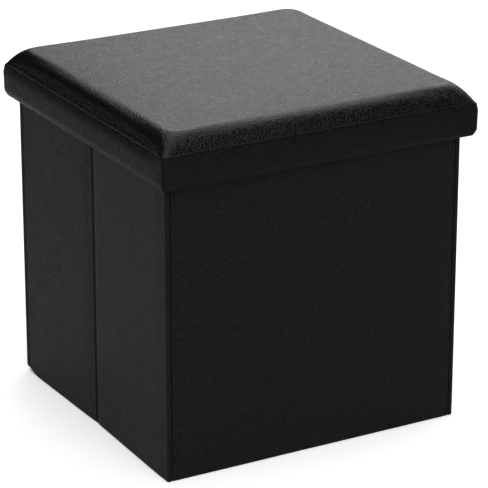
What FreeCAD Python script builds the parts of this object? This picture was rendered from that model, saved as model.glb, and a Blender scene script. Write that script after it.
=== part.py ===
import FreeCAD, Part
import Sketcher
import math
import os

from FreeCAD import Placement, Rotation, Vector

# Folding storage ottoman: six upholstered wall panels, a hinged base board and a lift-off padded lid.
# Frame: +Z up, the front faces -Y, and the origin is on the floor under the middle of the lid.
# All lengths are in millimetres.

SIZES = {
    "lid_width": 380.0,
    "lid_height": 384.5,
    "seam_height": 365.0,
    "welt": 0.8,
    "welt_inset": 0.8,
    "roll_width": 29.0,
    "corner_round": 7.0,
    "skirt_foot": 328.0,
    "skirt_leather": 1.2,
    "skirt_board": 3.0,
    "skirt_lining": 0.8,
    "lid_board": 8.0,
    "lid_gap": 0.2,
    "staple_width": 10.0,
    "staple_wire": 0.6,
    "staple_leg": 6.0,
    "staple_inset": 5.0,
    "body_width": 357.0,
    "body_depth": 346.0,
    "wall_top": 356.0,
    "leather": 1.0,
    "wall_board": 4.0,
    "lining": 0.8,
    "hem": 6.0,
    "edge_round": 3.0,
    "crease_round": 2.5,
    "butt_round": 1.5,
    "butt_gap": 0.5,
    "crease_gap": 4.0,
    "crease_shift": 1.85,
    "crease_dip": 3.0,
    "hinge_back": 12.5,
    "hinge_front": 8.8,
    "tape": 0.8,
    "tape_leaf": 12.0,
    "tape_slack": 0.3,
    "tape_end": 8.0,
    "base_width": 336.0,
    "base_front": 164.0,
    "base_back": 165.7,
    "base_skin": 0.5,
    "base_board": 3.0,
    "base_tape_width": 300.0,
    "base_tape_rise": 16.0,
    "loop_length": 42.0,
    "loop_width": 16.0,
    "loop_height": 1.4,
    "ribbon": 0.5,
    "loop_inset": 4.0,
}
CROWN_SECTIONS = 7
STAPLES_PER_SIDE = 6
UP = Vector(0, 0, 1)


class Size:
    """A length: its value now, and the sheet expression that it follows."""

    def __init__(self, value, text):
        self.value = value
        self.text = text

    def joined(self, sign, value, other):
        return Size(value, f"({self.text} {sign} {size(other).text})")

    def __add__(self, other):
        return self.joined("+", self.value + size(other).value, other)

    def __sub__(self, other):
        return self.joined("-", self.value - size(other).value, other)

    def __mul__(self, factor):
        return self.joined("*", self.value * factor, factor)

    def __truediv__(self, factor):
        return self.joined("/", self.value / factor, factor)

    def __neg__(self):
        return self * -1


def size(length):
    """The length as a Size, whether it is one already or a plain number."""
    if isinstance(length, Size):
        return length
    return Size(length, repr(length))


doc = FreeCAD.newDocument("ottoman")
sheet = doc.addObject("Spreadsheet::Sheet", "Sizes")
sized = {}
for row, (alias, value) in enumerate(SIZES.items(), start=1):
    sheet.set(f"A{row}", alias)
    sheet.set(f"B{row}", str(value))
    sheet.setAlias(f"B{row}", alias)
    sized[alias] = Size(value, f"Sizes.{alias}")
doc.recompute()

sub_parts = []


def sub_part(item, label):
    """Name a document object as one of the pieces that are written out."""
    item.Label = label
    sub_parts.append(item)
    return item


def put(item, x=0, y=0, z=0, turn=0):
    """Place an object, turned about the vertical, with its position bound to the sheet."""
    item.Placement = Placement(Vector(), Rotation(UP, turn))
    for axis, length in zip("xyz", (x, y, z)):
        item.setExpression(f"Placement.Base.{axis}", size(length).text)


def outline(body, corners, plane="XY_Plane", radius=None, height=0):
    """A closed sketch through the corners, rounded where a radius is given, bound to the sheet."""
    sketch = body.newObject("Sketcher::SketchObject", "outline")
    origin_plane = next(f for f in body.Origin.OriginFeatures if f.Role == plane)
    sketch.AttachmentSupport = [(origin_plane, "")]
    sketch.MapMode = "FlatFace"
    sketch.setExpression("AttachmentOffset.Base.z", size(height).text)
    ends = []
    count = len(corners)
    for n in range(count):
        before, after = corners[n], corners[(n + 1) % count]
        ends.append((moved(before, after, radius), moved(after, before, radius)))
        line = [Vector(x.value, y.value, 0) for x, y in ends[-1]]
        sketch.addGeometry(Part.LineSegment(*line), False)
        for which, (x, y) in enumerate(ends[-1], start=1):
            if which == 1 or radius is not None:
                pin_point(sketch, n, which, x, y)
    for n in range(count):
        follower = (n + 1) % count
        if radius is None:
            sketch.addConstraint(Sketcher.Constraint("Coincident", n, 2, follower, 1))
        else:
            round_corner(sketch, n, follower, corners[follower], ends[n][1], ends[follower][0])
    return sketch


def moved(point, towards, distance):
    """The point, shifted by the distance along the side that leads to the next corner."""
    if distance is None:
        return point
    steps = [b.value - a.value for a, b in zip(point, towards)]
    return tuple(
        at if abs(step) < 1e-9 else at + distance * math.copysign(1, step)
        for at, step in zip(point, steps)
    )


def pin_point(sketch, geometry, which, x, y):
    """Hold one end of a line at a place that follows the sheet."""
    for kind, length in (("DistanceX", x), ("DistanceY", y)):
        constraint = Sketcher.Constraint(kind, -1, 1, geometry, which, length.value)
        index = sketch.addConstraint(constraint)
        sketch.setExpression(f"Constraints[{index}]", length.text)


def round_corner(sketch, before, after, corner, start, end):
    """Join two sides that stop short of their corner by a quarter circle."""
    corner_point = Vector(corner[0].value, corner[1].value, 0)
    first = Vector(start[0].value, start[1].value, 0)
    last = Vector(end[0].value, end[1].value, 0)
    centre = first + last - corner_point
    middle = centre + (corner_point - centre).normalize() * (first - centre).Length
    arc = Part.ArcOfCircle(first, middle, last)
    index = sketch.addGeometry(arc, False)
    starts_first = arc.StartPoint.distanceToPoint(first) < arc.StartPoint.distanceToPoint(last)
    at_first, at_last = (1, 2) if starts_first else (2, 1)
    sketch.addConstraint(Sketcher.Constraint("Tangent", before, 2, index, at_first))
    sketch.addConstraint(Sketcher.Constraint("Coincident", index, at_last, after, 1))


def rectangle(left, right, bottom, top):
    left, right, bottom, top = (size(side) for side in (left, right, bottom, top))
    return [(left, bottom), (right, bottom), (right, top), (left, top)]


def extruded(name, corners, length, plane="XY_Plane", radius=None):
    """A body made by padding an outline."""
    body = doc.addObject("PartDesign::Body", name)
    pad = body.newObject("PartDesign::Pad", "pad")
    sketch = outline(body, corners, plane, radius)
    pad.Profile = sketch
    pad.setExpression("Length", size(length).text)
    body.Tip = pad
    doc.recompute()
    return body


def round_upright_edges(body, radii):
    """Fillet the upright edges of a padded body that stand at the given places in plan."""
    for (x, y), radius in radii:
        base = body.Tip
        names = []
        for n, edge in enumerate(base.Shape.Edges, start=1):
            box = edge.BoundBox
            upright = box.ZLength > 1 and box.DiagonalLength < box.ZLength + 1e-3
            if upright and math.hypot(box.Center.x - x.value, box.Center.y - y.value) < 1e-3:
                names.append(f"Edge{n}")
        fillet = body.newObject("PartDesign::Fillet", "rounding")
        fillet.Base = (base, names)
        fillet.setExpression("Radius", radius.text)
        body.Tip = fillet
        doc.recompute()


def wrapped(label, envelope, *fillings):
    """A cover: what is left of its outer shape once the pieces inside it are taken out."""
    remainder = envelope
    for filling in fillings:
        cut = doc.addObject("Part::Cut", f"{filling.Name}_taken_out")
        cut.Base = remainder
        cut.Tool = filling
        remainder = cut
    doc.recompute()
    return sub_part(remainder, label)


# ---- walls ----
leather = sized["leather"]
wall = leather + sized["wall_board"] + sized["lining"]
half_width = sized["body_width"] / 2
half_depth = sized["body_depth"] / 2
panel_height = sized["wall_top"] - sized["hem"]


def wall_panel(name, length, x, y, turn, start_round, end_round):
    """One upholstered panel: a board between leather and lining, over a soft hem.

    In the panel's own frame it runs along X from the placed corner, with its outer face at Y = 0.
    """
    skin_height = panel_height - leather * 2
    envelope = extruded(f"{name}_envelope", rectangle(0, length, 0, wall), panel_height)
    outer = [((size(0), size(0)), start_round), ((length, size(0)), end_round)]
    round_upright_edges(envelope, outer)
    put(envelope, x, y, sized["hem"], turn)

    far = length - leather
    back_of_board = leather + sized["wall_board"]
    board = extruded(f"{name}_board", rectangle(leather, far, leather, back_of_board), skin_height)
    inner = [((leather, leather), start_round - leather), ((far, leather), end_round - leather)]
    round_upright_edges(board, inner)
    put(board, x, y, sized["hem"] + leather, turn)
    sub_part(board, f"{name}_board")

    lining = extruded(f"{name}_lining", rectangle(leather, far, back_of_board, wall), skin_height)
    put(lining, x, y, sized["hem"] + leather, turn)
    sub_part(lining, f"{name}_lining")

    wrapped(f"{name}_cover", envelope, board, lining)

    hem = extruded(f"{name}_hem", rectangle(0, length, 0, wall), sized["hem"])
    round_upright_edges(hem, outer)
    put(hem, x, y, 0, turn)
    sub_part(hem, f"{name}_hem")


corner, crease, butt = sized["edge_round"], sized["crease_round"], sized["butt_round"]
crease_y = -sized["crease_shift"]
half_crease = sized["crease_gap"] / 2
side_back_end = half_depth - wall - sized["butt_gap"]
rear_half = side_back_end - crease_y - half_crease
front_half = half_depth + crease_y - half_crease
front_width = sized["body_width"] - (wall + sized["butt_gap"]) * 2

# each side wall dips inwards at its crease, because its halves stand slightly turned about their hinges
hinge_x = wall - half_width
rear_hinge_y = half_depth - sized["hinge_back"]
front_hinge_y = sized["hinge_front"] - half_depth
half_span = rear_hinge_y - crease_y
dip_angle = math.asin(SIZES["crease_dip"] / half_span.value)


def swung(x, y, hinge_y, angle):
    """A point of the left wall, turned about the upright axis of one of its corner hinges."""
    along, across = x - hinge_x, y - hinge_y
    turned_x = along * math.cos(angle) - across * math.sin(angle)
    turned_y = along * math.sin(angle) + across * math.cos(angle)
    return hinge_x + turned_x, hinge_y + turned_y


rear_x, rear_y = swung(-half_width, side_back_end, rear_hinge_y, dip_angle)
middle_rear_x, middle_rear_y = swung(-half_width, crease_y + half_crease, rear_hinge_y, dip_angle)
middle_x, middle_y = swung(-half_width, crease_y - half_crease, front_hinge_y, -dip_angle)
front_x, front_y = swung(-half_width, -half_depth, front_hinge_y, -dip_angle)
dip_turn = math.degrees(dip_angle)

wall_panel("back", sized["body_width"], half_width, half_depth, 180, corner, corner)
wall_panel("front", front_width, -front_width / 2, -half_depth, 0, butt, butt)
wall_panel("left_rear", rear_half, rear_x, rear_y, dip_turn - 90, butt, crease)
wall_panel("left_front", front_half, middle_x, middle_y, -dip_turn - 90, crease, corner)
wall_panel("right_rear", rear_half, -middle_rear_x, middle_rear_y, 90 - dip_turn, crease, butt)
wall_panel("right_front", front_half, -front_x, front_y, 90 + dip_turn, corner, crease)

# ---- fabric hinges of the walls ----
tape = sized["tape"]
tape_height = sized["wall_top"] - sized["tape_end"] * 2


def mirrored(corners, flip_x):
    if not flip_x:
        return corners
    return [(-x, y) for x, y in reversed(corners)]


def corner_tape(label, flip_x, wall_face, inward):
    """An angle of tape inside a corner: one leaf on the side wall, one on the front or back wall."""
    side_face = hinge_x + sized["tape_slack"]
    leaf = sized["tape_leaf"]
    corners = [
        (side_face, wall_face),
        (side_face, wall_face + leaf * inward),
        (side_face + tape, wall_face + leaf * inward),
        (side_face + tape, wall_face + tape * inward),
        (side_face + leaf, wall_face + tape * inward),
        (side_face + leaf, wall_face),
    ]
    body = extruded(label, mirrored(corners, flip_x), tape_height)
    put(body, z=sized["tape_end"])
    sub_part(body, label)


def crease_tape(label, flip_x):
    """The leather that bridges the crease between the two halves of a side wall, sunk in its groove."""
    outer = crease - half_width
    inner = outer + tape
    rear_edge, front_edge = crease_y + half_crease, crease_y - half_crease
    corners = [
        swung(outer, rear_edge, rear_hinge_y, dip_angle),
        swung(inner, rear_edge, rear_hinge_y, dip_angle),
        swung(inner, front_edge, front_hinge_y, -dip_angle),
        swung(outer, front_edge, front_hinge_y, -dip_angle),
    ]
    body = extruded(label, mirrored(corners, flip_x), panel_height)
    put(body, z=sized["hem"])
    sub_part(body, label)


for side, flip in (("left", False), ("right", True)):
    corner_tape(f"{side}_rear_corner_strip", flip, half_depth - wall, -1)
    corner_tape(f"{side}_front_corner_strip", flip, wall - half_depth, 1)
    crease_tape(f"{side}_crease_strip", flip)

# ---- base ----
half_base = sized["base_width"] / 2
skin = sized["base_skin"]
base_top = skin * 2 + sized["base_board"]
base_outline = rectangle(-half_base, half_base, -sized["base_front"], sized["base_back"])
board_outline = rectangle(
    skin - half_base, half_base - skin, skin - sized["base_front"], sized["base_back"] - skin
)
base_envelope = extruded("base_envelope", base_outline, base_top)
base_board = extruded("base_board", board_outline, sized["base_board"])
put(base_board, z=skin)
base_lining = extruded("base_lining", board_outline, skin)
put(base_lining, z=skin + sized["base_board"])
sub_part(base_board, "base_board")
sub_part(base_lining, "base_lining")
wrapped("base_cover", base_envelope, base_board, base_lining)

loop_front = sized["loop_inset"] - sized["base_front"]
loop_back = loop_front + sized["loop_length"]
ribbon = sized["ribbon"]
loop_top = base_top + sized["loop_height"]
loop_round = sized["loop_height"] * 0.45
eye_round = (sized["loop_height"] - ribbon * 2) * 0.4
loop_width = sized["loop_width"]
band_side = rectangle(loop_front, loop_back, base_top, loop_top)
eye_side = rectangle(loop_front + ribbon, loop_back - ribbon, base_top + ribbon, loop_top - ribbon)
loop_band = extruded("loop_band", band_side, loop_width, "YZ_Plane", loop_round)
loop_eye = extruded("loop_eye", eye_side, loop_width, "YZ_Plane", eye_round)
for piece in (loop_band, loop_eye):
    put(piece, x=-loop_width / 2)
wrapped("base_pull_loop", loop_band, loop_eye)

back_face = half_depth - wall
base_tape = [
    (sized["base_back"], base_top - tape),
    (back_face, base_top - tape),
    (back_face, base_top + sized["base_tape_rise"]),
    (back_face - tape, base_top + sized["base_tape_rise"]),
    (back_face - tape, base_top),
    (sized["base_back"], base_top),
]
base_strip = extruded("base_hinge_strip", base_tape, sized["base_tape_width"], "YZ_Plane")
put(base_strip, x=-sized["base_tape_width"] / 2)
sub_part(base_strip, "base_hinge_strip")

# ---- lid ----
half_lid = sized["lid_width"] / 2
skirt = sized["skirt_leather"] + sized["skirt_board"] + sized["skirt_lining"]
skirt_top = sized["seam_height"] - sized["welt"] / 2
pad_foot = sized["seam_height"] + sized["welt"] / 2


def mitred(inset, thickness):
    """A strip in plan whose ends are cut at 45 degrees, seen from the strip's own side of the lid."""
    outer, inner = half_lid - inset, half_lid - inset - thickness
    return [(-outer, -outer), (outer, -outer), (inner, -inner), (-inner, -inner)]


for side, turn in (("front", 0), ("right", 90), ("back", 180), ("left", 270)):
    cover_height = skirt_top - sized["skirt_foot"]
    sleeve = extruded(f"skirt_sleeve_{side}", mitred(0, skirt), cover_height)
    put(sleeve, z=sized["skirt_foot"], turn=turn)
    stiffener_height = cover_height - sized["skirt_leather"]
    stiffener_plan = mitred(sized["skirt_leather"], sized["skirt_board"])
    stiffener = extruded(f"skirt_board_{side}", stiffener_plan, stiffener_height)
    put(stiffener, z=sized["skirt_foot"] + sized["skirt_leather"], turn=turn)
    sub_part(stiffener, f"lid_skirt_board_{side}")
    wrapped(f"lid_skirt_cover_{side}", sleeve, stiffener)

half_board = half_lid - skirt - sized["lid_gap"]
board_square = rectangle(-half_board, half_board, -half_board, half_board)
lid_board = extruded("lid_board", board_square, sized["lid_board"])
put(lid_board, z=pad_foot - sized["lid_board"])
sub_part(lid_board, "lid_board")
lid_lining = extruded("lid_lining", board_square, sized["lining"])
put(lid_lining, z=pad_foot - sized["lid_board"] - sized["lining"])
sub_part(lid_lining, "lid_lining")

welt_outer = half_lid - sized["welt_inset"]
welt_inner = half_lid - skirt
outer_square = rectangle(-welt_outer, welt_outer, -welt_outer, welt_outer)
inner_square = rectangle(-welt_inner, welt_inner, -welt_inner, welt_inner)
welt_sheet = extruded("welt_sheet", outer_square, sized["welt"])
welt_middle = extruded("welt_middle", inner_square, sized["welt"])
for piece in (welt_sheet, welt_middle):
    put(piece, z=skirt_top)
wrapped("lid_seam_welt", welt_sheet, welt_middle)


def crowned(name, shrink):
    """The padded top: its sides roll over in a quarter ellipse onto a flat seat."""
    body = doc.addObject("PartDesign::Body", name)
    rise = sized["lid_height"] - pad_foot - shrink
    sections = []
    for n in range(CROWN_SECTIONS):
        angle = math.radians(90 * n / (CROWN_SECTIONS - 1))
        reach = half_lid - shrink - sized["roll_width"] * round(1 - math.cos(angle), 6)
        height = rise * round(math.sin(angle), 6)
        square = rectangle(-reach, reach, -reach, reach)
        sections.append(outline(body, square, radius=sized["corner_round"] - shrink, height=height))
    loft = body.newObject("PartDesign::AdditiveLoft", "loft")
    loft.Profile = sections[0]
    loft.Sections = sections[1:]
    loft.Ruled = True
    body.Tip = loft
    put(body, z=pad_foot)
    doc.recompute()
    return body


foam = crowned("lid_foam_pad", leather)
sub_part(foam, "lid_foam_pad")
wrapped("lid_top_cover", crowned("top_envelope", size(0)), foam)


def staple_shape():
    """A staple pushed up from below: a crown along X and two legs, centred on its crown."""
    width, wire, leg = (SIZES[alias] for alias in ("staple_width", "staple_wire", "staple_leg"))
    crown = Part.makeBox(width, wire, wire, Vector(-width / 2, -wire / 2, 0))
    legs = [
        Part.makeBox(wire, wire, leg, Vector(at, -wire / 2, 0)) for at in (-width / 2, width / 2 - wire)
    ]
    return crown.multiFuse(legs).removeSplitter()


staple_line = half_board.value - SIZES["staple_inset"]
staple_step = 2 * staple_line / STAPLES_PER_SIDE
staples = []
for turn in range(0, 360, 90):
    for n in range(STAPLES_PER_SIDE):
        staple = staple_shape()
        staple.translate(Vector(-staple_line + (n + 0.5) * staple_step, -staple_line, 0))
        staple.rotate(Vector(), UP, turn)
        staples.append(staple)
lid_staples = doc.addObject("Part::Feature", "lid_staples")
lid_staples.Shape = Part.makeCompound(staples)
put(lid_staples, z=pad_foot - sized["lid_board"] - sized["lining"])
sub_part(lid_staples, "lid_staples")

# ---- check and write ----
doc.recompute()
for item in doc.Objects:
    if {"Invalid", "Error"} & set(item.State):
        raise RuntimeError(f"{item.Label} did not recompute: {item.State}")
os.makedirs("parts", exist_ok=True)
for item in sub_parts:
    if item.Shape.isNull() or not item.Shape.isValid() or item.Shape.Volume <= 0:
        raise RuntimeError(f"{item.Label} has no valid shape")
for item in sub_parts:
    item.Shape.exportStep(f"parts/{item.Label}.step")
    box = item.Shape.BoundBox
    print(
        f"{item.Label:26} {item.Shape.Volume / 1000:9.2f} cm3  "
        f"x {box.XMin:8.2f} {box.XMax:8.2f}  y {box.YMin:8.2f} {box.YMax:8.2f}  "
        f"z {box.ZMin:7.2f} {box.ZMax:7.2f}"
    )
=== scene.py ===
import math

import bmesh
import bpy
import numpy as np
from mathutils import Matrix, Vector, noise

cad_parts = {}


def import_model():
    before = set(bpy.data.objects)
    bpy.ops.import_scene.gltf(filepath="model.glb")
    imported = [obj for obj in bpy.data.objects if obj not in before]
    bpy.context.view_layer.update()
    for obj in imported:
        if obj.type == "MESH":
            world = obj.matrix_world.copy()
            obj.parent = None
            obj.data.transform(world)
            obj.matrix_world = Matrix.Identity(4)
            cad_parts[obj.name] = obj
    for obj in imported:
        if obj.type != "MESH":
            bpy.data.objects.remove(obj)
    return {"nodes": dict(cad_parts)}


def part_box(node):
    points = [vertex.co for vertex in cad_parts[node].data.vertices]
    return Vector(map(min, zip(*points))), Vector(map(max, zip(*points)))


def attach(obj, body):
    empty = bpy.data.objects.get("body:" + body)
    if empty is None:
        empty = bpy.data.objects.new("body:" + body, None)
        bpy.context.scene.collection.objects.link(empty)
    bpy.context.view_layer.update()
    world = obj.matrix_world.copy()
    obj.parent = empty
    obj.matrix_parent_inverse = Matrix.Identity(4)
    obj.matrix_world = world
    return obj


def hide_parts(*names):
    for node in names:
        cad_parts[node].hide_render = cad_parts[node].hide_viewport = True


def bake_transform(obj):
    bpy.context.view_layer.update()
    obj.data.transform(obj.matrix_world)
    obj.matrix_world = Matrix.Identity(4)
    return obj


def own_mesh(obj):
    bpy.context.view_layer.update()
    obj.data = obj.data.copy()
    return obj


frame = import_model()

# Folding storage ottoman: the visual model. Metres, in the CAD frame: +Z up, the front faces -Y.

MM = 0.001
UP = Vector((0, 0, 1))
TINY = 1e-9
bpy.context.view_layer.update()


# ---------- materials ----------

def node(tree, kind, **settings):
    """A new shader node, with its properties and the default values of its inputs set by name."""
    made = tree.nodes.new(kind)
    for name, value in settings.items():
        if name in made.inputs:
            made.inputs[name].default_value = value
        else:
            setattr(made, name, value)
    return made


def blank_material(name):
    """A material with one principled shader: the material, its node tree and the shader."""
    material = bpy.data.materials.new(name)
    material.use_nodes = True
    tree = material.node_tree
    tree.nodes.clear()
    shader = node(tree, "ShaderNodeBsdfPrincipled")
    output = node(tree, "ShaderNodeOutputMaterial")
    tree.links.new(shader.outputs["BSDF"], output.inputs["Surface"])
    return material, tree, shader


def noise_field(tree, place, scale, detail=2.0, rough=0.5):
    field = node(tree, "ShaderNodeTexNoise", Scale=scale, Detail=detail, Roughness=rough)
    tree.links.new(place, field.inputs["Vector"])
    return field.outputs["Fac"]


def spread(tree, value, low, high, start=0.3, end=0.7):
    """Map a noise value onto a range of the wanted quantity."""
    ranged = node(tree, "ShaderNodeMapRange")
    ranged.inputs["From Min"].default_value = start
    ranged.inputs["From Max"].default_value = end
    ranged.inputs["To Min"].default_value = low
    ranged.inputs["To Max"].default_value = high
    tree.links.new(value, ranged.inputs["Value"])
    return ranged.outputs["Result"]


def bump(tree, height, distance, strength, before=None):
    made = node(tree, "ShaderNodeBump", Distance=distance, Strength=strength)
    tree.links.new(height, made.inputs["Height"])
    if before is not None:
        tree.links.new(before, made.inputs["Normal"])
    return made.outputs["Normal"]


def mottle(tree, shader, tone, factor, darkest, lightest):
    """Vary the base colour between a darker and a lighter shade of one tone."""
    dark, light = (
        (*(channel * shade for channel in tone), 1) for shade in (darkest, lightest)
    )
    colours = node(tree, "ShaderNodeMix", data_type="RGBA")
    colours.inputs["A"].default_value = dark
    colours.inputs["B"].default_value = light
    tree.links.new(factor, colours.inputs["Factor"])
    tree.links.new(colours.outputs["Result"], shader.inputs["Base Color"])


GRAIN_SIZE = 2.0 * MM
STRAY = 0.0016  # how far, in metres, the pebbles stray from their cells


def leather(name, tone, level, rough, grain):
    """Imitation leather: pebbles with fine creases between them and a slightly uneven sheen."""
    material, tree, shader = blank_material(name)
    place = node(tree, "ShaderNodeTexCoord").outputs["Object"]
    stray = node(tree, "ShaderNodeTexNoise", Scale=240.0, Detail=1.0)
    tree.links.new(place, stray.inputs["Vector"])
    shifted = node(tree, "ShaderNodeMix", data_type="VECTOR")
    shifted.inputs["Factor"].default_value = STRAY
    tree.links.new(place, shifted.inputs["A"])
    tree.links.new(stray.outputs["Color"], shifted.inputs["B"])
    pebbles = node(tree, "ShaderNodeTexVoronoi", feature="SMOOTH_F1", Scale=1 / GRAIN_SIZE)
    pebbles.inputs["Smoothness"].default_value = 0.3
    pores = node(tree, "ShaderNodeTexVoronoi", feature="F1", Scale=2.3 / GRAIN_SIZE)
    for cells in (pebbles, pores):
        tree.links.new(shifted.outputs["Result"], cells.inputs["Vector"])
    pebble = spread(tree, pebbles.outputs["Distance"], 1.0, 0.0, 0.05, 0.75)
    pore = spread(tree, pores.outputs["Distance"], 1.0, 0.0, 0.05, 0.75)
    mottle(tree, shader, tone, pebble, 0.55, 1.25)
    patches = noise_field(tree, place, 70.0, 5.0, 0.6)
    tree.links.new(spread(tree, patches, rough - 0.035, rough + 0.045), shader.inputs["Roughness"])
    shader.inputs["Specular IOR Level"].default_value = level
    broad = bump(tree, noise_field(tree, place, 24.0, 2.0), 0.9 * MM, 0.2)
    creased = bump(tree, noise_field(tree, place, 260.0, 3.0), 0.13 * MM, grain * 0.35, broad)
    fine = bump(tree, pore, 0.1 * MM, grain * 0.6, creased)
    tree.links.new(bump(tree, pebble, 0.42 * MM, grain, fine), shader.inputs["Normal"])
    return material


def fabric(name, tone, thread=0.9 * MM, woven=False, level=0.2, rough=0.92):
    """Non-woven lining felt, or a woven ribbon."""
    material, tree, shader = blank_material(name)
    place = node(tree, "ShaderNodeTexCoord").outputs["Object"]
    if woven:
        weave = node(tree, "ShaderNodeMath", operation="MULTIPLY")
        for along, factor in zip("XY", weave.inputs):
            wave = node(tree, "ShaderNodeTexWave", bands_direction=along, Distortion=0.4)
            wave.inputs["Scale"].default_value = 0.32 / thread
            tree.links.new(place, wave.inputs["Vector"])
            tree.links.new(wave.outputs["Fac"], factor)
        height = weave.outputs["Value"]
    else:
        dimples = node(tree, "ShaderNodeTexVoronoi", feature="F1", Scale=0.5 / thread)
        tree.links.new(place, dimples.inputs["Vector"])
        height = dimples.outputs["Distance"]
    fibres = noise_field(tree, place, 420.0, 4.0, 0.65)
    mottle(tree, shader, tone, spread(tree, fibres, 0.0, 1.0), 0.65, 1.4)
    tree.links.new(spread(tree, fibres, rough - 0.08, rough + 0.05), shader.inputs["Roughness"])
    shader.inputs["Specular IOR Level"].default_value = level
    shader.inputs["Sheen Weight"].default_value = 0.08
    normal = bump(tree, fibres, 0.2 * MM, 0.4)
    tree.links.new(bump(tree, height, 0.3 * MM, 0.6, normal), shader.inputs["Normal"])
    return material


def plain_solid(name, tone, rough, metallic=0.0):
    """Boards and wire: one colour with fine mottling."""
    material, tree, shader = blank_material(name)
    place = node(tree, "ShaderNodeTexCoord").outputs["Object"]
    flecks = noise_field(tree, place, 300.0, 5.0, 0.7)
    mottle(tree, shader, tone, flecks, 0.8, 1.2)
    tree.links.new(spread(tree, flecks, rough - 0.06, rough + 0.06), shader.inputs["Roughness"])
    shader.inputs["Metallic"].default_value = metallic
    shader.inputs["Specular IOR Level"].default_value = 0.4
    tree.links.new(bump(tree, flecks, 0.15 * MM, 0.3), shader.inputs["Normal"])
    return material


# One imitation leather in three copies: the seat's tone is set about four times darker than the
# walls', and the skirt's a little darker, as painted shade that keeps the top's padded edge and
# the skirt dark
seat_leather = leather("seat_leather", (0.0026, 0.0027, 0.0026), 0.17, 0.28, grain=0.95)
skirt_leather = leather("skirt_leather", (0.0098, 0.0105, 0.0101), 0.010, 0.25, grain=0.7)
wall_leather = leather("wall_leather", (0.0114, 0.0122, 0.0117), 0.019, 0.38, grain=0.8)
lining_felt = fabric("lining_felt", (0.011, 0.011, 0.011))
hinge_tape = fabric("hinge_tape", (0.009, 0.009, 0.009), 0.6 * MM, woven=True)
ribbon_weave = fabric(
    "ribbon_weave", (0.012, 0.012, 0.012), 0.5 * MM, woven=True, level=0.3, rough=0.7
)
fibreboard = plain_solid("fibreboard", (0.30, 0.20, 0.11), 0.75)
grey_card = plain_solid("grey_card", (0.28, 0.25, 0.2), 0.85)
staple_steel = plain_solid("staple_steel", (0.55, 0.55, 0.56), 0.35, metallic=1.0)


# ---------- mesh helpers ----------

WELD = 1e-6


def mesh_object(name, points, faces, material, slot, smooth=True):
    """An object from points and faces, welded, with its normals outwards."""
    mesh = bpy.data.meshes.new(name)
    mesh.from_pydata([tuple(p) for p in points], [], faces)
    made = bpy.data.objects.new(name, mesh)
    bpy.context.scene.collection.objects.link(made)
    tidy = bmesh.new()
    tidy.from_mesh(mesh)
    bmesh.ops.remove_doubles(tidy, verts=tidy.verts, dist=WELD)
    bmesh.ops.recalc_face_normals(tidy, faces=tidy.faces)
    tidy.to_mesh(mesh)
    tidy.free()
    mesh.polygons.foreach_set("use_smooth", [smooth] * len(mesh.polygons))
    mesh.materials.append(material)
    return made


def loft(rings, caps=True):
    """Points and faces of a skin over closed rings of equal length."""
    points = [p for ring in rings for p in ring]
    count = len(rings[0])
    faces = []
    for row in range(len(rings) - 1):
        for n in range(count):
            after = (n + 1) % count
            low, high = row * count, (row + 1) * count
            faces.append((low + n, low + after, high + after, high + n))
    if caps:
        faces.append(tuple(range(count)))
        faces.append(tuple(range(len(points) - count, len(points))))
    return points, faces


def smooth_step(value, start, end):
    """0 before the start, 1 after the end, with a soft rise between."""
    t = min(max((value - start) / (end - start), 0.0), 1.0)
    return t * t * (3 - 2 * t)


def spaced(start, end, step):
    """Evenly spaced numbers from start to end, both included."""
    return list(np.linspace(start, end, max(2, math.ceil(abs(end - start) / step) + 1)))


SEED_STEP = 7.31


def wobble(seed, u, v, size):
    """Slow noise between -1 and 1 over a surface."""
    return noise.noise(Vector((u / size, v / size, seed * SEED_STEP)))


def quarter(steps):
    """(1 - cos, 1 - sin) over a quarter turn, for the section of a rounded edge."""
    angles = [math.radians(90 * n / steps) for n in range(steps + 1)]
    return [(1 - math.cos(angle), 1 - math.sin(angle)) for angle in angles]


# ---------- wall panels ----------

OUTWARD = {
    "back": Vector((0, 1, 0)),
    "front": Vector((0, -1, 0)),
    "left_rear": Vector((-1, 0, 0)),
    "left_front": Vector((-1, 0, 0)),
    "right_rear": Vector((1, 0, 0)),
    "right_front": Vector((1, 0, 0)),
}
wall_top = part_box("back_cover")[1].z
wall_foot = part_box("back_hem")[0].z
hem_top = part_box("back_hem")[1].z


class Panel:
    """A wall panel's own axes and size, measured on its CAD nodes.

    u runs along the panel, v runs inwards from its outer face, z is up.
    """

    def __init__(self, name):
        lining = np.array([v.co.xy for v in frame["nodes"][f"{name}_lining"].data.vertices])
        spreads, axes = np.linalg.eigh(np.cov(lining.T))
        along = Vector((*axes[:, int(np.argmax(spreads))], 0)).normalized()
        outward = Vector((along.y, -along.x, 0))
        if outward.dot(OUTWARD[name]) < 0:
            along = -along
            outward = -outward
        cover = [v.co for v in frame["nodes"][f"{name}_cover"].data.vertices]
        reach = [v.dot(along) for v in cover]
        depth = [v.dot(outward) for v in cover]
        self.along = along
        self.outward = outward
        self.start = min(reach)
        self.length = max(reach) - self.start
        self.face = max(depth)
        self.thickness = self.face - min(depth)

    def at(self, u, v, z):
        return self.along * (self.start + u) + self.outward * (self.face - v) + UP * z


panels = {name: Panel(name) for name in OUTWARD}

# rounding of each panel's two outer upright edges, at its start and at its end along u
EDGE, CREASE, BUTT = 2.1 * MM, 1.9 * MM, 1.6 * MM
ROUNDS = {
    "back": (EDGE, EDGE),
    "front": (BUTT, BUTT),
    "left_rear": (BUTT, CREASE),
    "left_front": (CREASE, EDGE),
    "right_rear": (CREASE, BUTT),
    "right_front": (EDGE, CREASE),
}
INNER_ROUND = 1.0 * MM
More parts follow.
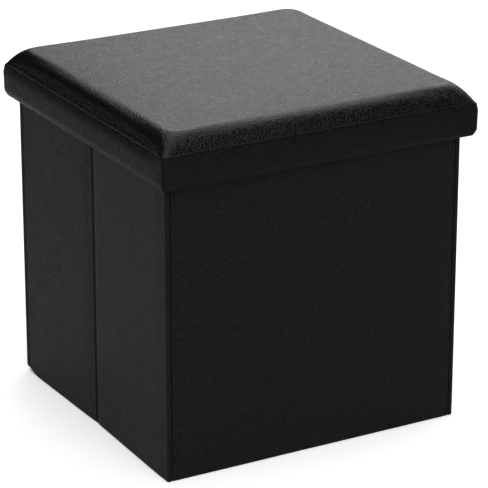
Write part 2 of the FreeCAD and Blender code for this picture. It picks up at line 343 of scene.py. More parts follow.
# how far in from each upright edge the leather curves down to it
PLAIN_EDGE = 12 * MM
SOFT_EDGE = {
    "back": (PLAIN_EDGE, PLAIN_EDGE),
    "front": (PLAIN_EDGE, PLAIN_EDGE),
    "left_rear": (PLAIN_EDGE, 22 * MM),
    "left_front": (8 * MM, 26 * MM),
    "right_rear": (22 * MM, PLAIN_EDGE),
    "right_front": (26 * MM, 8 * MM),
}
# how far the leather swells over the board; the sides stay flat, because they fold face to face
FULLNESS = {"back": 0.8 * MM, "front": 0.8 * MM}
SIDE_FULLNESS = -0.05 * MM
LEATHER_DIP = 0.55 * MM
# the lines that the thread presses into the leather, along the upright edges and along the foot
PRESS_DEPTH = 0.35 * MM
EDGE_LINE, EDGE_LINE_WIDTH = 4.6 * MM, 0.8 * MM
FOOT_LINE, FOOT_LINE_WIDTH = 7 * MM, 1.2 * MM
# slow unevenness of the leather, as (height, size)
BROAD_WAVES, FINE_WAVES = (0.18 * MM, 75 * MM), (0.09 * MM, 26 * MM)
# a faint slanting dent low on the left side
DENT_DEPTH, DENT_WIDTH, DENT_SLOPE = 0.5 * MM, 9 * MM, 0.9
DENT_START, DENT_HEIGHT = 14 * MM, 60 * MM
DENT_REACH, DENT_FADE = 130 * MM, 60 * MM
CORNER_LIFT = 5.5 * MM
LIFT_REACH = {"back": 9 * MM, "left_rear": 26 * MM, "right_rear": 26 * MM}
LIFT_FADE = 14 * MM
CREASE_REACH, CREASE_REACH_FADE = 1.85 * MM, 5 * MM


def plan_outline(length, depth, start_round, end_round, inner_round, step):
    """A closed outline in plan as (u, v, normal u, normal v), the outer face first.

    The points are closer together near the upright edges, where the leather curves most.
    """
    dense_edge, dense_step = 12 * MM, 0.8 * MM
    outline = []

    def arc(centre_u, centre_v, radius, first, segments):
        for n in range(segments + 1):
            angle = math.radians(first + 90 * n / segments)
            nu, nv = math.cos(angle), math.sin(angle)
            outline.append((centre_u + radius * nu, centre_v + radius * nv, nu, nv))

    arc(start_round, start_round, start_round, 180, 6)
    stations = spaced(start_round, dense_edge, dense_step)[1:]
    stations += spaced(dense_edge, length - dense_edge, step)[1:]
    stations += spaced(length - dense_edge, length - end_round, dense_step)[1:-1]
    outline += [(u, 0.0, 0.0, -1.0) for u in stations]
    arc(length - end_round, end_round, end_round, 270, 6)
    arc(length - inner_round, depth - inner_round, inner_round, 0, 3)
    inner = reversed(spaced(inner_round, length - inner_round, step)[1:-1])
    outline += [(u, depth, 0.0, 1.0) for u in inner]
    arc(inner_round, depth - inner_round, inner_round, 90, 3)
    return outline


def end_rows(foot, top, foot_round, top_round, step):
    """Heights and how far the outline draws in there, rounding the foot and the top."""
    rows = [(foot + foot_round * up, foot_round * inwards) for inwards, up in reversed(quarter(4))]
    rows += [(z, 0.0) for z in spaced(foot + foot_round, top - top_round, step)[1:-1]]
    rows += [(top - top_round * down, top_round * inwards) for inwards, down in quarter(4)]
    return rows


def pressed_line(distance, place, width):
    """A shallow line pressed into the leather by the thread under it."""
    return math.exp(-(((distance - place) / width) ** 2))


def leather_relief(name, seed, u, z, length):
    """How far the leather stands out from its board: least along its sewn edges."""
    soft_start, soft_end = SOFT_EDGE[name]
    across = smooth_step(u, 0, soft_start) * smooth_step(length - u, 0, soft_end)
    upright = smooth_step(z - wall_foot, 0, 18 * MM)
    rise = FULLNESS.get(name, SIDE_FULLNESS) * across * upright
    for near, soft in ((u, soft_start), (length - u, soft_end)):
        if soft == PLAIN_EDGE:
            rise -= PRESS_DEPTH * pressed_line(near, EDGE_LINE, EDGE_LINE_WIDTH)
        else:
            rise -= LEATHER_DIP * (1 - smooth_step(near, 0, soft))
    rise -= PRESS_DEPTH * pressed_line(z - wall_foot, FOOT_LINE, FOOT_LINE_WIDTH)
    for (height, size), layer in ((BROAD_WAVES, seed), (FINE_WAVES, seed + 40)):
        rise += height * wobble(layer, u, z, size) * across
    if name == "left_rear":
        slant = (z - wall_foot) - DENT_SLOPE * (u + DENT_START)
        faint = smooth_step(u, 0, 20 * MM) * smooth_step(DENT_REACH - u, 0, DENT_FADE)
        rise -= DENT_DEPTH * faint * pressed_line(slant, DENT_HEIGHT, DENT_WIDTH)
    return rise


def corner_lift(name, u, length):
    """How far the hem rises towards a rear corner, where the leather is turned round it."""
    rise = 0.0
    if name in ("back", "left_rear"):
        rise = max(rise, 1 - u / LIFT_REACH[name])
    if name in ("back", "right_rear"):
        rise = max(rise, 1 - (length - u) / LIFT_REACH[name])
    return CORNER_LIFT * rise * rise


def crease_reach(name, u, z, length):
    """How far the hem reaches along the panel at the crease, to meet the side's other half."""
    if name in ("back", "front"):
        return 0.0
    at_start = ROUNDS[name][0] == CREASE
    near = u if at_start else length - u
    reach = CREASE_REACH * (1 - smooth_step(near, 0, CREASE_REACH_FADE))
    reach *= 1 - smooth_step(z, hem_top * 0.4, hem_top)
    return -reach if at_start else reach


def wall_leather_piece(name, seed):
    """A panel's leather, from the floor over the board's top edge, as one closed form."""
    panel = panels[name]
    outline = plan_outline(panel.length, panel.thickness, *ROUNDS[name], INNER_ROUND, 5 * MM)
    foot_round, top_round, row_step = 1.2 * MM, 2.2 * MM, 6 * MM
    rings = []
    for z, inset in end_rows(wall_foot + 0.1 * MM, wall_top, foot_round, top_round, row_step):
        ring = []
        for u, v, nu, nv in outline:
            lift = max(-nv, 0.0) * leather_relief(name, seed, u, z, panel.length)
            foot_share = 1 - smooth_step(z - wall_foot, 0, LIFT_FADE)
            raised = z + corner_lift(name, u, panel.length) * foot_share
            along = u - nu * inset + crease_reach(name, u, z, panel.length)
            ring.append(panel.at(along, v - nv * (inset - lift), raised))
        rings.append(ring)
    piece = mesh_object(f"{name}_leather", *loft(rings), wall_leather, "wall_leather")
    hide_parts(f"{name}_cover", f"{name}_hem")
    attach(piece, name)
    return piece


def lining_piece(name, seed):
    """The felt glued to the inner face of a panel, inside a border of leather."""
    panel = panels[name]
    border, top_border, step = 3.5 * MM, 9 * MM, 9 * MM
    sunk, sheet = 0.3 * MM, 0.75 * MM
    us = spaced(border, panel.length - border, step)
    zs = spaced(hem_top + border, wall_top - top_border, step)
    rings = []
    for z in zs:
        near_end = min(z - zs[0], zs[-1] - z)
        front = []
        for u in us:
            near = min(u - border, panel.length - border - u, near_end)
            full = smooth_step(near, -2 * MM, 5 * MM) * (0.7 + 0.3 * wobble(seed, u, z, 45 * MM))
            front.append(panel.at(u, panel.thickness - sunk * (1 - full), z))
        back = [panel.at(u, panel.thickness - sheet, z) for u in reversed(us)]
        rings.append(front + back)
    piece = mesh_object(f"{name}_felt", *loft(rings), lining_felt, "lining_fabric")
    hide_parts(f"{name}_lining")
    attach(piece, name)


base_low, base_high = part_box("base_cover")
for number, wall in enumerate(OUTWARD):
    skin = wall_leather_piece(wall, number)
    lining_piece(wall, number + 10)
    if wall != "back":
        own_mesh(skin)


# ---------- fabric hinges ----------

CORNER_TAPE = 0.8 * MM
BASE_TAPE = 0.6 * MM


def band(path, thickness):
    """A closed outline round a path in a plane, at half the thickness on both sides of it."""
    left, right = [], []
    for n, point in enumerate(path):
        ahead = path[min(n + 1, len(path) - 1)] - path[max(n - 1, 0)]
        side = Vector((-ahead.y, ahead.x)).normalized() * thickness / 2
        left.append(point + side)
        right.append(point - side)
    return left + right[::-1]


def upright_tape(name, path, thickness, low, high, material, slot):
    """A tape that follows a path in plan, standing upright between two heights."""
    section = band(path, thickness)
    rings = [[Vector((*point, z)) for point in section] for z in spaced(low, high, 12 * MM)]
    return mesh_object(name, *loft(rings), material, slot)


def level_tape(name, path, thickness, xs, material):
    """A tape that follows a path in the YZ plane, with its width along X."""
    section = band(path, thickness)
    rings = [[Vector((x, *point)) for point in section] for x in xs]
    return mesh_object(name, *loft(rings), material, "lining_fabric")


def bent_path(start, corner, end, radius):
    """A path of two straight legs with a rounded corner, with points along each leg."""
    first, last = (start - corner).normalized(), (end - corner).normalized()
    a, b = corner + first * radius, corner + last * radius
    along_leg = np.linspace(0, 1, 4)
    path = [start.lerp(a, t) for t in along_leg[:-1]]
    for t in np.linspace(0, 1, 7):
        path.append(a * (1 - t) ** 2 + corner * 2 * t * (1 - t) + b * t**2)
    return path + [b.lerp(end, t) for t in along_leg[1:]]


def corner_tape(side, end, turning):
    """The angle tape inside a corner of the walls, bending where its side wall is hinged.

    Without a turning body the chain of walls is left open here, and the tape is in two leaves.
    """
    node_name = f"{side}_{end}_corner_strip"
    low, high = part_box(node_name)
    half = CORNER_TAPE / 2
    sign = -1 if side == "left" else 1
    inward = -1 if end == "rear" else 1
    x_face = low.x if side == "left" else high.x
    y_face = high.y if end == "rear" else low.y
    x_far = high.x if side == "left" else low.x
    y_far = low.y if end == "rear" else high.y
    corner = Vector((x_face - sign * half, y_face + inward * half))
    on_side = Vector((corner.x, y_far))
    on_end = Vector((x_far, corner.y))
    path = bent_path(on_end, corner, on_side, 1.5 * MM)
    name = f"{side}_{end}_tape"
    surface = (CORNER_TAPE, low.z, high.z, hinge_tape, "lining_fabric")
    if turning is None:
        half_way = len(path) // 2
        leaves = ((path[: half_way + 1], "front"), (path[half_way:], f"{side}_{end}"))
        for leaf_path, body in leaves:
            leaf = upright_tape(f"{name}_{body}", leaf_path, *surface)
            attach(leaf, body)
            if body != "front":
                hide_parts(node_name)
        return
    tape = upright_tape(name, path, *surface)
    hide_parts(node_name)
    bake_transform(tape)


corner_tape("left", "rear", "left_rear")
corner_tape("right", "rear", "right_rear")
corner_tape("left", "front", "left_front")
corner_tape("right", "front", None)


def crease_leather(side):
    """The leather between the halves of a side wall, sunk in the crease."""
    node_name = f"{side}_crease_strip"
    low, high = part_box(node_name)
    outward = -1 if side == "left" else 1
    proud, overlap, above_base = 1.0 * MM, 0.6 * MM, 0.7 * MM
    middle = (low.x + high.x) / 2 + outward * proud
    path = [Vector((middle, y)) for y in spaced(high.y + overlap, low.y - overlap, 0.6 * MM)]
    strip = upright_tape(
        f"{side}_crease_leather", path, high.x - low.x, base_high.z + above_base, high.z,
        wall_leather, "wall_leather",
    )
    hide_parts(node_name)
    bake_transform(strip)


for side in ("left", "right"):
    crease_leather(side)


# ---------- base ----------

def rounded_slab(name, low, high, rounding, corner, material, slot):
    """A slab with rounded edges, with flat rims inside them so that its faces shade as flat."""
    width, depth = high.x - low.x, high.y - low.y
    rims = [corner * 0.97, (corner + rounding) / 2]
    profile = [(low.z, inset) for inset in rims]
    profile += [(low.z + rounding * up, rounding * inwards) for up, inwards in quarter(4)]
    profile += [(high.z - rounding * down, rounding * inwards) for inwards, down in quarter(4)]
    profile += [(high.z, inset) for inset in reversed(rims)]
    outline = []
    for centre_x, centre_y, first in (
        (width - corner, corner, 270), (width - corner, depth - corner, 0),
        (corner, depth - corner, 90), (corner, corner, 180),
    ):
        for n in range(5):
            angle = math.radians(first + 90 * n / 4)
            outline.append((centre_x, centre_y, math.cos(angle), math.sin(angle)))
    rings = []
    for z, inset in profile:
        reach = corner - inset
        rings.append([
            Vector((low.x + centre_x + nx * reach, low.y + centre_y + ny * reach, z))
            for centre_x, centre_y, nx, ny in outline
        ])
    return mesh_object(name, *loft(rings), material, slot)


# the cloth edge fills most of the play between the base and the walls
base_play = Vector((1.3, 1.6, 0)) * MM
base_fabric = rounded_slab(
    "base_fabric", base_low - base_play, base_high + Vector((base_play.x, 0, 0)), 1.2 * MM, 3 * MM,
    lining_felt, "lining_fabric",
)
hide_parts("base_cover", "base_lining")
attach(base_fabric, "base")

strip_low, strip_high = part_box("base_hinge_strip")


def base_tape():
    """The tape along the back of the base: one leaf up the back wall, one on the base."""
    leaf, bend = 6 * MM, 1.2 * MM
    wall_y = strip_high.y - BASE_TAPE / 2
    top_z = base_high.z + BASE_TAPE / 2
    top_end, base_end = Vector((wall_y, strip_high.z)), Vector((strip_low.y - leaf, top_z))
    path = bent_path(top_end, Vector((wall_y, top_z)), base_end, bend)
    xs = spaced(strip_low.x, strip_high.x, 15 * MM)
    tape = level_tape("base_tape", path, BASE_TAPE, xs, hinge_tape)
    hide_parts("base_hinge_strip")
    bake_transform(tape)


base_tape()


def pull_ribbon():
    """The ribbon loop that lifts the base: two layers sewn down at one end, open at the bend."""
    low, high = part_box("base_pull_loop")
    thick, edge = 0.45 * MM, 0.8 * MM
    lower, upper = low.z + thick / 2, high.z - thick / 2
    bend = (upper - lower) / 2
    bend_y, sewn = low.y + bend, high.y
    sunk = upper - lower - thick * 1.05
    path = [Vector((y, lower)) for y in spaced(sewn, bend_y, 2 * MM)]
    for n in range(1, 8):
        angle = math.radians(180 * n / 8)
        turned = Vector((-math.sin(angle), 1 - math.cos(angle)))
        path.append(Vector((bend_y, lower)) + turned * bend)
    for y in spaced(bend_y, sewn, 2 * MM):
        path.append(Vector((y, upper - sunk * smooth_step(y, sewn - 9 * MM, sewn - 3 * MM))))
    middle = spaced(low.x + 2 * edge, high.x - 2 * edge, 3 * MM)
    across = [low.x, low.x + edge, *middle, high.x - edge, high.x]
    ribbon = level_tape("base_pull_ribbon", path, thick, across, ribbon_weave)
    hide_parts("base_pull_loop")
    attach(ribbon, "base")


pull_ribbon()


# ---------- lid ----------

lid_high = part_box("lid_top_cover")[1]
skirt_low, skirt_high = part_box("lid_skirt_cover_front")
welt_low, welt_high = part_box("lid_seam_welt")
half_lid = lid_high.x
seam_z = (welt_low.z + welt_high.z) / 2
SEAM_INSET = 3.2 * MM
SEAM_DROP, SEAM_DROP_REACH = 1.0 * MM, 22 * MM
SEAM_SPREAD, SPREAD_START, SPREAD_END = 1.9 * MM, 3 * MM, 32 * MM
# the padded edge: its width, its slope at the seam, and how long it keeps its slopes at both ends
ROLL_WIDTH = 25 * MM
SEAM_SLOPE = math.radians(62)
SEAM_HOLD, TOP_HOLD = 9.5 * MM, 13 * MM
CORNER_FOOT, CORNER_TOP = 4.2 * MM, 15 * MM
FLAT_STEPS, ROLL_STEPS = 49, 20
SEAT_WAVE, SEAT_WAVE_SIZE = 0.5 * MM, 95 * MM


def seam_drop(near):
    """How much lower the seam runs close to a corner, where the sewn layers pull it down."""
    return SEAM_DROP * math.exp(-((near / SEAM_DROP_REACH) ** 2))


def seam_spread(near):
    """How much further out the seam runs close to a corner than along the middle of a side."""
    return SEAM_SPREAD * (1 - smooth_step(near, SPREAD_START, SPREAD_END))


def roll_profile(t):
    """The padded edge as (inset, height): t = 0 at the seam, 1 where the flat top begins."""
    foot = seam_z + 0.2 * MM
    on, up = SEAM_HOLD * math.cos(SEAM_SLOPE), SEAM_HOLD * math.sin(SEAM_SLOPE)
    a = Vector((SEAM_INSET, foot))
    b = Vector((SEAM_INSET + on, foot + up))
    c = Vector((ROLL_WIDTH - TOP_HOLD, lid_high.z))
    d = Vector((ROLL_WIDTH, lid_high.z))
    k = 1 - t
    return tuple(a * k**3 + b * 3 * k * k * t + c * 3 * k * t * t + d * t**3)


def cushion_grid():
    """The cushion's grid lines: up to 1 over the flat top, from 1 to 2 over the rolled edge."""
    flat = list(np.linspace(-1, 1, FLAT_STEPS))
    roll = [1 + n / ROLL_STEPS for n in range(1, ROLL_STEPS + 1)]
    return [-r for r in reversed(roll)] + flat + roll


def cushion_point(a, b):
    """Where the grid's point (a, b) lies on the cushion before the leather settles."""
    ring = max(abs(a), abs(b))
    if ring < TINY:
        return Vector((0, 0, lid_high.z))
    if ring <= 1:
        half, height = ring * (half_lid - ROLL_WIDTH), lid_high.z
    else:
        inset, height = roll_profile(2 - ring)
        near = half_lid * (1 - min(abs(a), abs(b)) / ring)
        half = half_lid - inset + seam_spread(near) * (ring - 1) ** 2
    square = Vector((a / ring * half, b / ring * half))
    up = smooth_step(height, seam_z, lid_high.z)
    rounding = min(half, CORNER_FOOT + (CORNER_TOP - CORNER_FOOT) * up)
    rounding *= smooth_step(ring, 0.6, 1.0)
    core = Vector([max(min(c, half - rounding), rounding - half) for c in square])
    over = square - core
    if over.length > TINY:
        over = over.normalized() * rounding
    near = half_lid - min(abs(square.x), abs(square.y))
    height -= seam_drop(near) * smooth_step(ring, 1.3, 2.0)
    return Vector((*(core + over), height))


SEAM_RING = 1.999  # grid points from here outwards are sewn down


def top_cushion():
    """The padded top: a leather sheet sewn down all round, settled over the foam as cloth."""
    steps = cushion_grid()
    count = len(steps)
    rest = [cushion_point(a, b) for b in steps for a in steps]
    faces = [
        (row * count + n, row * count + n + 1, (row + 1) * count + n + 1, (row + 1) * count + n)
        for row in range(count - 1)
        for n in range(count - 1)
    ]
    mesh = bpy.data.meshes.new("lid_cushion")
    mesh.from_pydata([tuple(p) for p in rest], [], faces)
    cushion = bpy.data.objects.new("lid_cushion", mesh)
    bpy.context.scene.collection.objects.link(cushion)
    settle_leather(cushion, rest, steps)
    for n, vertex in enumerate(cushion.data.vertices):
        ring = max(abs(steps[n % count]), abs(steps[n // count]))
        if ring < SEAM_RING:
            seat = smooth_step(1.0 - ring, -0.4, 0.6)
            swell = 1 + wobble(3, vertex.co.x, vertex.co.y, SEAT_WAVE_SIZE)
            vertex.co.z += SEAT_WAVE * swell * seat
    smooth = cushion.modifiers.new("smooth", "SUBSURF")
    smooth.levels = smooth.render_levels = 1
    apply_modifiers(cushion)
    close_underside(cushion)
    cushion.data.polygons.foreach_set("use_smooth", [True] * len(cushion.data.polygons))
    # the seat leather's low tone is painted shade on the padded edge
    cushion.data.materials.append(seat_leather)
    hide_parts("lid_top_cover", "lid_foam_pad")
    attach(cushion, "lid")


def settle_leather(cushion, rest, steps):
    """Let the leather settle over the foam, sewn down at its seam, moving a little way at most."""
    last_frame, limit = 25, 2.5 * MM
    count = len(steps)
    group = cushion.vertex_groups.new(name="held")
    for n in range(len(rest)):
        ring = max(abs(steps[n % count]), abs(steps[n // count]))
        if ring >= SEAM_RING:
            weight = 1.0
        elif ring > 1:
            weight = 0.10 + 0.30 * (ring - 1) ** 2
        else:
            weight = 0.10
        group.add([n], weight, "REPLACE")
    cloth = cushion.modifiers.new("cloth", "CLOTH")
    settings = cloth.settings
    settings.quality = 6
    settings.mass = 0.5
    settings.tension_stiffness = 40
    settings.compression_stiffness = 40
    settings.shear_stiffness = 25
    settings.bending_stiffness = 30.0
    settings.shrink_min = 0.002
    settings.vertex_group_mass = "held"
    settings.pin_stiffness = 3.0
    settings.use_pressure = True
    settings.uniform_pressure_force = 1.5
    settings.effector_weights.gravity = 0
    cloth.collision_settings.use_collision = False
    cloth.collision_settings.use_self_collision = False
    scene = bpy.context.scene
    for step in range(1, last_frame + 1):
        scene.frame_set(step)
    apply_modifiers(cushion)
    scene.frame_set(1)
    for vertex, start in zip(cushion.data.vertices, rest):
        shift = vertex.co - start
        if shift.length > limit:
            vertex.co = start + shift.normalized() * limit
    cushion.vertex_groups.clear()


def apply_modifiers(piece):
    """Replace a piece's mesh by what its modifiers make of it."""
    bpy.context.view_layer.update()
    depsgraph = bpy.context.evaluated_depsgraph_get()
    made = bpy.data.meshes.new_from_object(piece.evaluated_get(depsgraph))
    piece.modifiers.clear()
    piece.data = made


def close_underside(cushion):
    """Turn the sheet's edge under, a little way in, and close it flat on the lid board."""
    shape = bmesh.new()
    shape.from_mesh(cushion.data)
    border = [e for e in shape.edges if e.is_boundary]
    for inset in (3 * MM, 9 * MM):
        made = bmesh.ops.extrude_edge_only(shape, edges=border)["geom"]
        border = [g for g in made if isinstance(g, bmesh.types.BMEdge) and g.is_boundary]
        moved = {v for e in border for v in e.verts}
        for vertex in moved:
            reach = max(abs(vertex.co.x), abs(vertex.co.y))
            vertex.co.x *= 1 - inset / reach
            vertex.co.y *= 1 - inset / reach
            vertex.co.z = welt_high.z + 0.1 * MM
    bmesh.ops.holes_fill(shape, edges=border, sides=0)
    bmesh.ops.recalc_face_normals(shape, faces=shape.faces)
    shape.to_mesh(cushion.data)
    shape.free()


top_cushion()

SKIRT_THICK = skirt_high.y - skirt_low.y
SHOULDER, SHOULDER_CURVE = 10 * MM, 1.4
# the hem draws in over its last stretch, then turns under with a small lip
HEM_ROUND, HEM_CURVE = 7.5 * MM, 1.8
HEM_DRAW = 2.3 * MM
HEM_LIP, LIP_ROUND = 1.2 * MM, 1.6 * MM
HEM_HOLLOW = 2 * MM
SKIRT_CORNER = 3.2 * MM
PUCKER, PUCKER_WIDTH = 0.8 * MM, 1.2 * MM
SKIRT_TAPER = 0.5 * MM
SKIRT_BULGE, SKIRT_WAVE, SKIRT_WAVE_SIZE = 0.45 * MM, 0.25 * MM, 60 * MM
SIDE_LINE_DEPTH, SIDE_LINE, SIDE_LINE_WIDTH = 0.3 * MM, 5.5 * MM, 0.9 * MM
SEWN_OVERLAP = 0.06 * MM
CARD_INSET, CARD_THICK = 2.1 * MM, 1.9 * MM


def skirt_profile():
    """The skirt's section as (inset, height, on the flat), down the outside and up the inside."""
    top, foot = welt_low.z, skirt_low.z
    section = []
    for t in np.linspace(0, 1, 7):
        section.append((SEAM_INSET * (1 - t) ** SHOULDER_CURVE, top - SHOULDER * t, False))
    for z in spaced(top - SHOULDER, foot + HEM_ROUND, 3 * MM)[1:]:
        section.append((0.0, z, True))
    for t in np.linspace(0, 1, 10)[1:]:
        drawn = HEM_DRAW * t**HEM_CURVE
        section.append((drawn, foot + HEM_ROUND - (HEM_ROUND - HEM_LIP) * t, False))
    for inwards, up in quarter(4)[1:]:
        section.append((HEM_DRAW + LIP_ROUND * inwards, foot + HEM_LIP * up, False))
    lip_end = HEM_DRAW + LIP_ROUND
    for up, short in quarter(3)[1:]:
        inset = SKIRT_THICK - (SKIRT_THICK - lip_end) * short
        section.append((inset, foot + HEM_HOLLOW * up, False))
    section.append((SKIRT_THICK, foot + 10 * MM, False))
    section.append((SKIRT_THICK, top - 0.4 * MM, False))
    return section


def skirt_stations():
    """Places along a side of the skirt, close together round its corners."""
    angles = [math.radians(angle) for angle in (45, 53, 61, 69, 77, 84, 90)]
    ends = [SKIRT_CORNER * (1 - math.cos(angle)) for angle in angles]
    ends += [SKIRT_CORNER + step * MM for step in (1, 2, 3.5, 5.5, 8, 12)]
    middle = spaced(ends[-1], 2 * half_lid - ends[-1], 6 * MM)[1:-1]
    return ends + middle + [2 * half_lid - s for s in reversed(ends)]


def skirt_piece(side, turn, seed):
    """One side of the skirt: leather over card, sewn to its neighbours in the corners."""
    along = skirt_stations()
    rotation = Matrix.Rotation(math.radians(turn), 3, "Z")
    rings = []
    for s in along:
        near = min(s, 2 * half_lid - s)
        in_corner = near < SKIRT_CORNER
        rounding = 0.0
        if in_corner:
            rounding = SKIRT_CORNER - math.sqrt(SKIRT_CORNER**2 - (SKIRT_CORNER - near) ** 2)
        pucker = PUCKER * pressed_line(near, along[0], PUCKER_WIDTH)
        soft = smooth_step(near, SKIRT_CORNER, 20 * MM)
        ring = []
        for inset, z, flat in skirt_profile():
            drop = rounding + pucker
            if z > welt_low.z - SHOULDER and inset < SEAM_INSET + 0.01 * MM:
                inset *= 1 - seam_spread(near) / SEAM_INSET
            height = z - seam_drop(near) * smooth_step(z, welt_low.z - 2 * SHOULDER, welt_low.z)
            if flat:
                level = (z - skirt_low.z) / (skirt_high.z - skirt_low.z)
                drop += SKIRT_TAPER * (1 - level)
                drop -= soft * SKIRT_BULGE * math.sin(math.pi * level)
                drop -= soft * SKIRT_WAVE * wobble(seed, s, z, SKIRT_WAVE_SIZE)
                drop += SIDE_LINE_DEPTH * pressed_line(near, SIDE_LINE, SIDE_LINE_WIDTH)
            elif inset < SKIRT_THICK - 0.1 * MM and z < skirt_low.z + HEM_ROUND:
                drop += SKIRT_TAPER
            total = min(inset + drop, SKIRT_THICK)
            drawn_in = total - rounding - SEWN_OVERLAP if in_corner else inset
            reach = (s - half_lid) * (half_lid - drawn_in) / half_lid
            ring.append(rotation @ Vector((reach, -(half_lid - total), height)))
        rings.append(ring)
    piece = mesh_object(f"lid_skirt_{side}", *loft(rings), skirt_leather, "skirt_leather")
    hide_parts(f"lid_skirt_cover_{side}")
    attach(piece, "lid")


def skirt_card(side, turn):
    """The card inside a side of the skirt, cut back from the sewn corners."""
    rotation = Matrix.Rotation(math.radians(turn), 3, "Z")
    outer, reach = half_lid - CARD_INSET, half_lid - 6 * MM
    inner, chamfer = outer - CARD_THICK, 0.4 * MM
    foot, top = skirt_low.z + 7 * MM, welt_low.z - SHOULDER - 1 * MM
    section = (
        (outer, foot + chamfer), (outer - chamfer, foot), (inner + chamfer, foot),
        (inner, foot + chamfer), (inner, top), (outer, top),
    )
    rings = [
        [rotation @ Vector((x, -y, z)) for y, z in section] for x in spaced(-reach, reach, 40 * MM)
    ]
    card = mesh_object(
        f"lid_skirt_card_{side}", *loft(rings), grey_card, "stiffener", smooth=False
    )
    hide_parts(f"lid_skirt_board_{side}")
    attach(card, "lid")


for number, side in enumerate(("front", "right", "back", "left")):
    skirt_piece(side, 90 * number, number + 20)
    skirt_card(side, 90 * number)


def seam_piece():
    """The sewn edge between the top and the skirt: a fine rib, pinched at every stitch."""
    pitch, rib, pinch = 4.2 * MM, 0.75 * MM, 0.18
    sunk, rounding = 1.35 * MM, 3.5 * MM
    half = half_lid - SEAM_INSET - sunk
    path = []
    for corner_x, corner_y, first in ((1, -1, 270), (1, 1, 0), (-1, 1, 90), (-1, -1, 180)):
        centre = Vector((corner_x, corner_y)) * (half - rounding)
        for n in range(7):
            angle = math.radians(first + 90 * n / 6)
            path.append(centre + Vector((math.cos(angle), math.sin(angle))) * rounding)
    for point in path:
        pull = seam_spread(half_lid - min(abs(point.x), abs(point.y)))
        point += Vector((math.copysign(pull, point.x), math.copysign(pull, point.y)))
    dense = []
    for n, point in enumerate(path):
        after = path[(n + 1) % len(path)]
        pieces = max(1, round((after - point).length / (pitch / 4)))
        dense += [point.lerp(after, k / pieces) for k in range(pieces)]
    travelled = 0.0
    rings = []
    for n, point in enumerate(dense):
        before, after = dense[n - 1], dense[(n + 1) % len(dense)]
        travelled += (point - before).length
        out = Vector(((after - before).y, -(after - before).x)).normalized()
        radius = rib * (1 - pinch + pinch * abs(math.sin(math.pi * travelled / pitch)))
        height = seam_z - seam_drop(half_lid - min(abs(point.x), abs(point.y)))
        ring = []
        for k in range(8):
            angle = math.radians(45 * k)
            reach = point + out * radius * math.cos(angle)
            ring.append(Vector((*reach, height + radius * math.sin(angle))))
        rings.append(ring)
    # the rib takes the seat's darker leather as painted shade, so that the seam reads as a dark
    # line along the front
    seam = mesh_object(
        "lid_seam", *loft(rings + [rings[0]], caps=False), seat_leather, "seat_leather"
    )
    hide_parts("lid_seam_welt")
    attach(seam, "lid")


seam_piece()

lining_low, lining_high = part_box("lid_lining")
under_lining = rounded_slab(
    "lid_under_felt", lining_low, lining_high, 0.3 * MM, 4 * MM, lining_felt, "lining_fabric"
)
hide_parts("lid_lining")
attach(under_lining, "lid")


# ---------- CAD nodes that stay ----------

def finish_node(name, material):
    """Give a CAD node that stays in view its material."""
    materials = frame["nodes"][name].data.materials
    materials.clear()
    materials.append(material)


for name in frame["nodes"]:
    if name.endswith("_board"):
        finish_node(name, fibreboard)
finish_node("lid_staples", staple_steel)


# ---------- stage ----------

CAMERA_PLACE = Vector((-1.368, -2.443, 1.234))
CAMERA_YAW, CAMERA_PITCH, CAMERA_ROLL = 29.44, 20.67, 0.06
CAMERA_LENS = 199.5
FLOOR_GLOW = 0.36
WORLD_LIGHT = 0.03
LIGHT_AIM = 0.2  # height of the point that the lights face


def direction(azimuth, elevation):
    """A unit vector: azimuth 0 is along +Y and 90 along +X."""
    az, el = math.radians(azimuth), math.radians(elevation)
    return Vector((math.sin(az) * math.cos(el), math.cos(az) * math.cos(el), math.sin(el)))


def camera():
    """The view of the ottoman from its front left, a little from above."""
    data = bpy.data.cameras.new("camera")
    data.lens = CAMERA_LENS
    data.sensor_width = 36.0
    data.clip_end = 50.0
    made = bpy.data.objects.new("camera", data)
    made.location = CAMERA_PLACE
    turn = direction(CAMERA_YAW, -CAMERA_PITCH).to_track_quat("-Z", "Y").to_matrix()
    made.rotation_euler = (turn @ Matrix.Rotation(math.radians(CAMERA_ROLL), 3, "Z")).to_euler()
    bpy.context.scene.collection.objects.link(made)
    bpy.context.scene.camera = made


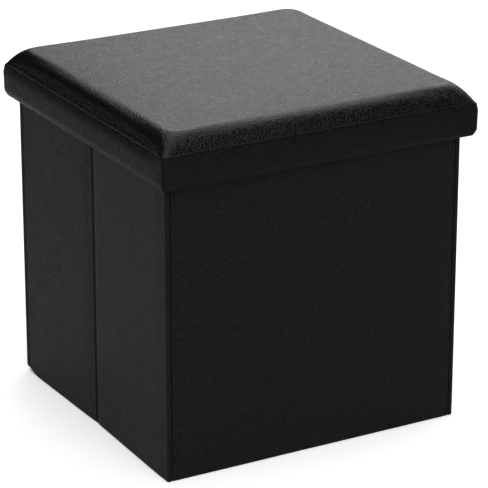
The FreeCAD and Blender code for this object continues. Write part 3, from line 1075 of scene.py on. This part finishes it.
def floor():
    """A pale floor that glows a little where it lies open, so that it stays near white."""
    half, height = 9.0, -0.2 * MM
    corners = [(x * half, y * half, height) for x, y in ((-1, -1), (1, -1), (1, 1), (-1, 1))]
    mesh = bpy.data.meshes.new("floor")
    mesh.from_pydata(corners, [], [(0, 1, 2, 3)])
    made = bpy.data.objects.new("floor", mesh)
    bpy.context.scene.collection.objects.link(made)
    material, tree, shader = blank_material("pale_floor")
    shader.inputs["Base Color"].default_value = (0.9, 0.9, 0.9, 1)
    shader.inputs["Roughness"].default_value = 1.0
    shader.inputs["Specular IOR Level"].default_value = 0.0
    shader.inputs["Emission Color"].default_value = (1, 1, 1, 1)
    openness = node(tree, "ShaderNodeAmbientOcclusion", Distance=0.4)
    openness.samples = 8
    glow = spread(tree, openness.outputs["AO"], 0.0, FLOOR_GLOW, 0.06, 0.42)
    tree.links.new(glow, shader.inputs["Emission Strength"])
    mesh.materials.append(material)


def softbox(name, azimuth, elevation, distance, width, height, radiance):
    """A rectangle of light that faces the ottoman, with the brightness that its face shows."""
    data = bpy.data.lights.new(name, "AREA")
    data.shape = "RECTANGLE"
    data.size, data.size_y = width, height
    data.energy = radiance * math.pi * width * height
    made = bpy.data.objects.new(name, data)
    towards = direction(azimuth, elevation)
    made.location = towards * distance + Vector((0, 0, LIGHT_AIM))
    made.rotation_euler = (-towards).to_track_quat("-Z", "Y").to_euler()
    bpy.context.scene.collection.objects.link(made)


def world():
    """A nearly dark room round the lights."""
    made = bpy.data.worlds.new("studio")
    made.use_nodes = True
    background = made.node_tree.nodes["Background"]
    background.inputs["Color"].default_value = (1, 1, 1, 1)
    background.inputs["Strength"].default_value = WORLD_LIGHT
    bpy.context.scene.world = made


camera()
floor()
world()
softbox("overhead", CAMERA_YAW, 89.9, 1.6, 1.6, 4.4, 2.05)
softbox("backdrop", 37, 20, 3.6, 2.4, 1.8, 1.7)
softbox("front_fill", 188, 34, 3.2, 2.2, 1.6, 3.0)
softbox("right_fill", 85, 30, 3.6, 2.4, 1.8, 1.8)
softbox("left_fill", 265, 30, 3.6, 2.4, 1.8, 1.1)
bpy.context.scene.view_settings.view_transform = "Standard"
